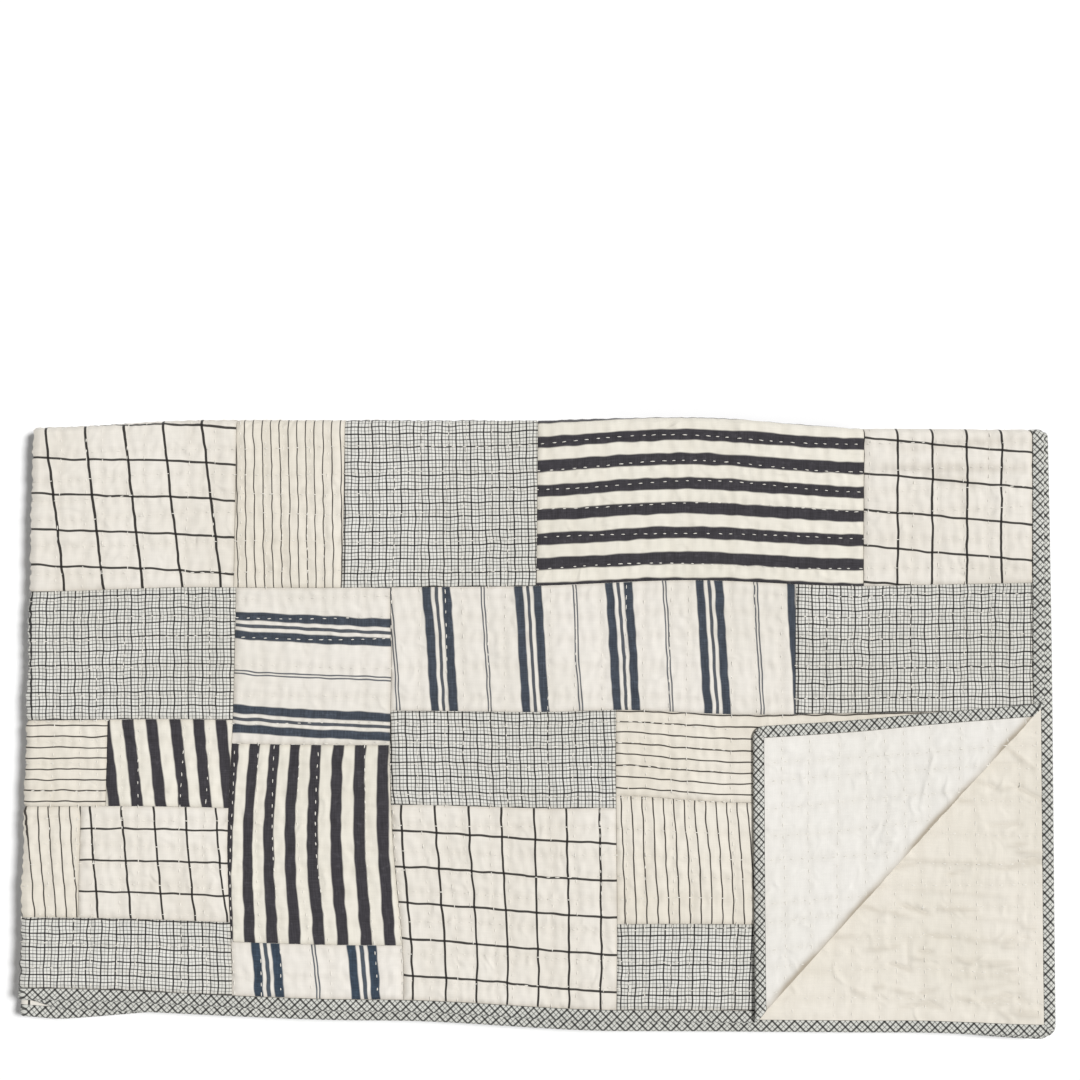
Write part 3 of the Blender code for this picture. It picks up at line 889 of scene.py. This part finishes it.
def stretched(tree, place, scale):
    node = tree.nodes.new("ShaderNodeVectorMath")
    node.operation = "MULTIPLY"
    feed(tree, node.inputs[0], place)
    node.inputs[1].default_value = scale
    return node.outputs[0]


def uv_place(tree, name):
    node = tree.nodes.new("ShaderNodeUVMap")
    node.uv_map = name
    return node.outputs[0]


def axes(tree, vector):
    node = tree.nodes.new("ShaderNodeSeparateXYZ")
    feed(tree, node.inputs[0], vector)
    return node.outputs


def new_group(name, takes, gives):
    """An empty node group with these named inputs and outputs."""
    group = bpy.data.node_groups.new(name, "ShaderNodeTree")
    for label, kind in takes:
        group.interface.new_socket(name=label, in_out="INPUT", socket_type=kind)
    for label, kind in gives:
        group.interface.new_socket(name=label, in_out="OUTPUT", socket_type=kind)
    return group, group.nodes.new("NodeGroupInput"), group.nodes.new("NodeGroupOutput")


def use_group(tree, group, **values):
    node = tree.nodes.new("ShaderNodeGroup")
    node.node_tree = group
    for label, value in values.items():
        feed(tree, node.inputs[label.replace("_", " ").title()], value)
    return node.outputs


def make_stripe_group():
    """A line across the cloth at one place of each repeat."""
    takes = [(label, "NodeSocketFloat") for label in ("Place", "Centre", "Half Width", "Softness")]
    group, given, put = new_group("line_of_the_cloth", takes, [("Mask", "NodeSocketFloat")])
    from_centre = maths(group, "SUBTRACT", given.outputs["Place"], given.outputs["Centre"])
    off = maths(group, "ABSOLUTE", maths(group, "WRAP", from_centre, 0.5, -0.5))
    outer = maths(group, "ADD", given.outputs["Half Width"], given.outputs["Softness"])
    inner = maths(group, "SUBTRACT", given.outputs["Half Width"], given.outputs["Softness"])
    feed(group, put.inputs["Mask"], smooth_range(group, off, inner, outer, 1.0, 0.0))
    return group


def make_weave_group():
    """Plain weave: threads over and under each other, with slubs along both ways."""
    takes = [("Place", "NodeSocketVector"), ("Threads", "NodeSocketFloat")]
    gives = [("Height", "NodeSocketFloat"), ("Slubs", "NodeSocketFloat")]
    group, given, put = new_group("plain_weave", takes, gives)
    parts = axes(group, given.outputs["Place"])
    turns = [maths(group, "MULTIPLY", part, given.outputs["Threads"]) for part in parts[:2]]
    waves = [maths(group, "SINE", maths(group, "MULTIPLY", turn, math.pi)) for turn in turns]
    crossing = maths(group, "MULTIPLY", waves[0], waves[1])
    warp = noise_at(group, stretched(group, given.outputs["Place"], (1.0, 0.045, 1.0)), 900.0)
    weft = noise_at(group, stretched(group, given.outputs["Place"], (0.045, 1.0, 1.0)), 900.0)
    slubs = maths(group, "MULTIPLY", maths(group, "ADD", warp, weft), 0.5)
    feed(group, put.inputs["Height"], maths(group, "MULTIPLY_ADD", crossing, 0.35, slubs))
    feed(group, put.inputs["Slubs"], smooth_range(group, slubs, 0.36, 0.64))
    return group


def make_wear_group():
    """Slow changes of tone over washed cloth, small faded specks, and fine creases."""
    gives = [("Tone", "NodeSocketFloat"), ("Specks", "NodeSocketFloat"), ("Creases", "NodeSocketFloat")]
    group, given, put = new_group("washed_tone", [("Place", "NodeSocketVector")], gives)
    slow = noise_at(group, given.outputs["Place"], 6.0, 3.0, 0.6)
    fine = noise_at(group, given.outputs["Place"], 140.0, 3.0, 0.65)
    feed(group, put.inputs["Tone"], smooth_range(group, slow, 0.30, 0.70))
    feed(group, put.inputs["Specks"], smooth_range(group, fine, 0.52, 0.78))
    creases = noise_at(group, given.outputs["Place"], 46.0, 4.0, 0.5, "RIDGED_MULTIFRACTAL", 0.8)
    feed(group, put.inputs["Creases"], creases)
    return group


def woven_line(way, centre, half, dark):
    """A line of a cloth: the way it counts, its place in a repeat, half its width and its darkness."""
    return dict(way=way, centre=centre, half=half, dark=dark)


def check_lines(main, main_dark, second, second_dark, thin, thin_dark):
    """A check's lines each way, evenly spaced: a main, a thin, a second and another thin one."""
    sizes = [(main, main_dark), (thin, thin_dark), (second, second_dark), (thin, thin_dark)]
    return [woven_line(way, place / 4, *size) for way in (0, 1) for place, size in enumerate(sizes)]


def ticking_lines(out, bar, middle):
    """Two bars with a thin line between them, and a pair of hairlines half a repeat away."""
    bars = [woven_line(0, -out, bar, 1.0), woven_line(0, out, bar, 1.0)]
    hairlines = [woven_line(0, centre, 0.0078, 0.9) for centre in (0.484, 0.516)]
    return bars + [woven_line(0, 0.0, middle, 0.95)] + hairlines


BIAS_PITCH = 0.0176
BIAS_CHECK = dict(ground=(218, 218, 211), shade=(208, 208, 201), ink=(24, 24, 23),
                  lines=check_lines(0.058, 0.88, 0.050, 0.84, 0.024, 0.64))

# Each cloth's ground, its ink and its lines, whose places and widths are shares of one repeat
CLOTHS = dict(
    windowpane=dict(ground=(237, 232, 223), shade=(230, 224, 213), ink=(26, 24, 22),
                    lines=[woven_line(0, 0.0, 0.033, 0.97), woven_line(1, 0.0, 0.031, 0.95)]),
    pinstripe=dict(ground=(236, 230, 218), shade=(230, 223, 209), ink=(44, 39, 35),
                   lines=[woven_line(0, 0.0, 0.064, 0.95)]),
    small_check=dict(ground=(233, 232, 226), shade=(224, 223, 215), ink=(24, 23, 24),
                     lines=check_lines(0.050, 0.95, 0.040, 0.84, 0.024, 0.55)),
    bold_stripe=dict(ground=(238, 233, 221), shade=(231, 226, 213), ink=(50, 48, 52),
                     lines=[woven_line(0, 0.0, 0.245, 1.0)]),
    ticking=dict(ground=(236, 231, 223), shade=(231, 226, 216), ink=(55, 61, 70),
                 lines=ticking_lines(0.103, 0.047, 0.018)),
    blue_ticking=dict(ground=(239, 234, 226), shade=(233, 228, 219), ink=(45, 57, 70),
                      lines=ticking_lines(0.106, 0.048, 0.022)),
)
STUDIO_GAIN = 1.07
THREAD_RELIEF, CREASE_RELIEF = 0.00010, 0.0016
THREADS_PER_METRE = 1900

# The studio: its floor, where the daylight comes from, and how wide, in degrees, and strong it is
FLOOR_SIZE = 14.0
LIGHT_FROM, LIGHT_ANGLE, LIGHT_STRENGTH, FILL_STRENGTH = (1.0, 0.25, 1.7), 15, 3.12, 0.28


def woven_cotton(name, groups, ground, shade):
    """A cotton's material, with its weave, wear and bump, up to where its lines come in."""
    material = bpy.data.materials.new(name)
    material.use_nodes = True
    tree = material.node_tree
    shader = tree.nodes["Principled BSDF"]
    shader.inputs["Specular IOR Level"].default_value = 0.25
    shader.inputs["Sheen Weight"].default_value = 0.15
    shader.inputs["Sheen Roughness"].default_value = 0.5
    metres = uv_place(tree, "Metres")
    weave = use_group(tree, groups["weave"], place=metres, threads=THREADS_PER_METRE)
    wear = use_group(tree, groups["wear"], place=metres)
    cloth = mix_colours(tree, wear["Tone"], linear(*ground), linear(*shade))
    darker = linear(*[channel * 0.8 for channel in shade])
    dimmed = mix_colours(tree, maths(tree, "MULTIPLY", weave["Slubs"], 0.10), cloth, darker)
    rough = smooth_range(tree, weave["Slubs"], 0.0, 1.0, 0.82, 0.95)
    feed(tree, shader.inputs["Roughness"], rough)
    bump = tree.nodes.new("ShaderNodeBump")
    bump.inputs["Strength"].default_value = 1.0
    bump.inputs["Distance"].default_value = 1.0
    threads = maths(tree, "MULTIPLY", weave["Height"], THREAD_RELIEF)
    relief = maths(tree, "MULTIPLY_ADD", wear["Creases"], CREASE_RELIEF, threads)
    feed(tree, bump.inputs["Height"], relief)
    feed(tree, shader.inputs["Normal"], bump.outputs[0])
    return material, tree, dimmed, weave, wear


def shaded(tree, colour):
    """Feeds the shader this colour, with painted shade: browner and darker in the seams, folds and
    quilting rows.
    """
    painted_shade_amount = axes(tree, uv_place(tree, "Shade"))
    # The painted shade's brown, at full strength.
    dark = mix_colours(tree, painted_shade_amount[0], (1, 1, 1, 1), (0.50, 0.45, 0.38, 1))
    dimmed = mix_colours(tree, 1.0, colour, dark, "MULTIPLY")
    feed(tree, tree.nodes["Principled BSDF"].inputs["Base Color"], dimmed)


def plain_cotton(name, groups, ground, shade):
    material, tree, colour, _, _ = woven_cotton(name, groups, ground, shade)
    shaded(tree, colour)
    return material


def printed_cotton(name, groups, cloth):
    """A striped or checked cotton: its woven lines over the plain ground."""
    material, tree, colour, weave, wear = woven_cotton(name, groups, cloth["ground"], cloth["shade"])
    repeats = axes(tree, uv_place(tree, "Repeats"))
    faded = tuple(channel * 1.45 + 14 for channel in cloth["ink"])
    slubs = maths(tree, "MULTIPLY", weave["Slubs"], 0.40)
    fade = maths(tree, "MULTIPLY_ADD", wear["Specks"], 0.45, slubs)
    ink = mix_colours(tree, fade, linear(*cloth["ink"]), linear(*faded))
    for line in cloth["lines"]:
        mask = use_group(tree, groups["line"], place=repeats[line["way"]], centre=line["centre"],
                         half_width=line["half"], softness=line["half"] * 0.15 + 0.002)["Mask"]
        colour = mix_colours(tree, maths(tree, "MULTIPLY", mask, line["dark"]), colour, ink)
    shaded(tree, colour)
    return material


def make_floor():
    """A level, pale studio floor."""
    bm = bmesh.new()
    bmesh.ops.create_grid(bm, x_segments=2, y_segments=2, size=FLOOR_SIZE / 2)
    mesh = mesh_from(bm, "floor")
    material = bpy.data.materials.new("floor")
    material.use_nodes = True
    shader = material.node_tree.nodes["Principled BSDF"]
    shader.inputs["Base Color"].default_value = (0.93, 0.93, 0.93, 1.0)
    shader.inputs["Roughness"].default_value = 0.9
    shader.inputs["Specular IOR Level"].default_value = 0.1
    mesh.materials.append(material)
    in_scene("floor", mesh)


def make_light():
    """Soft daylight from the right, and an even fill from all round."""
    lamp = bpy.data.lights.new("window_light", "SUN")
    lamp.angle, lamp.energy = math.radians(LIGHT_ANGLE), LIGHT_STRENGTH
    turned = (-Vector(LIGHT_FROM)).to_track_quat("-Z", "Y")
    in_scene("window_light", lamp).rotation_euler = turned.to_euler()
    world = bpy.data.worlds.new("studio")
    world.use_nodes = True
    fill = world.node_tree.nodes["Background"]
    fill.inputs["Color"].default_value = (1, 1, 1, 1)
    fill.inputs["Strength"].default_value = FILL_STRENGTH
    bpy.context.scene.world = world
    bpy.context.scene.view_settings.view_transform = "Standard"


def make_camera():
    """Nearly straight above the quilt, leaning a little towards its far edge."""
    lens = bpy.data.cameras.new("camera")
    lens.sensor_width, lens.lens = 36.0, 60.0
    camera = in_scene("camera", lens)
    tilt, turn, roll = math.radians(3.5), math.radians(-0.56), math.radians(0.06)
    aim = Matrix.Rotation(tilt, 4, "X") @ Matrix.Rotation(turn, 4, "Y") @ Matrix.Rotation(roll, 4, "Z")
    camera.matrix_world = Matrix.Translation((-0.0203, 0.0846, 2.0789)) @ aim
    bpy.context.scene.camera = camera


make_camera()
GROUPS = dict(line=make_stripe_group(), weave=make_weave_group(), wear=make_wear_group())
COTTONS = {name: printed_cotton(name + "_cotton", GROUPS, cloth) for name, cloth in CLOTHS.items()}
BACKING_COTTON = plain_cotton("backing_cotton", GROUPS, (239, 236, 230), (236, 233, 226))
# A darker, yellower copy of the backing cloth: painted shade on the second layer's corner, below the
# flap.
BACKING_IN_PAINTED_SHADE = plain_cotton("backing_cotton_painted_shade", GROUPS, (237, 231, 220), (231, 225, 212))
BINDING_COTTON = printed_cotton("binding_cotton", GROUPS, BIAS_CHECK)
THREAD = plain_cotton("quilting_thread", GROUPS, (238, 234, 226), (230, 226, 216))

patches = [make_patch(patch, COTTONS) for patch in PATCHES]
hidden_top = make_hidden_top(COTTONS)
backing = make_backing([BACKING_COTTON, BACKING_IN_PAINTED_SHADE])
binding = make_binding(BINDING_COTTON)
top_stitches = make_stitches("quilting_stitches", THREAD, 0, shows_on_top, height_on_top)
backing_stitches = make_stitches("backing_stitches", THREAD, -CLOTH_SIDE, shows_on_backing,
                                 height_on_backing)

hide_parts("patchwork_top")
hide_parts("plain_backing")
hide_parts("edge_binding")

make_floor()
make_light()
